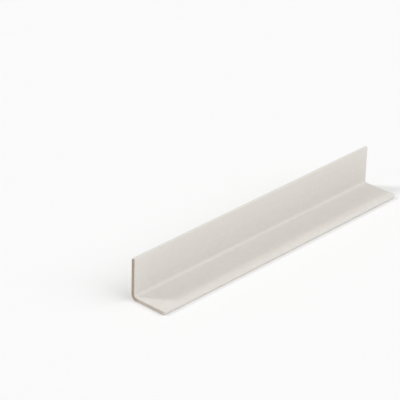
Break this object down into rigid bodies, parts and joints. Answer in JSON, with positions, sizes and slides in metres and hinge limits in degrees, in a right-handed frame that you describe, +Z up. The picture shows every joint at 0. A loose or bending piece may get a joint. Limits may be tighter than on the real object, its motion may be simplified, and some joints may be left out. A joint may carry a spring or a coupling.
{
  "type": "edge protector",
  "caption": "Straight L-section board of laminated paper plies in a white wrap, laid over the edge of a carton or pallet load under strapping or stretch film.",
  "frame": {"origin": "centre of the bounding box on the floor: under the flat leg, halfway along the board and halfway across the flat leg", "axes": "+X along the board, +Y across the flat leg from its long edge to the upright leg's outer face, +Z up along the upright leg"},
  "size_m": [0.375, 0.05, 0.05],
  "materials": {
    "white_paper": "matte",
    "grey_brown_board": "matte"
  },
  "bodies": {
    "root": {"edge_protector": "white_paper"}
  },
  "joints": []
}
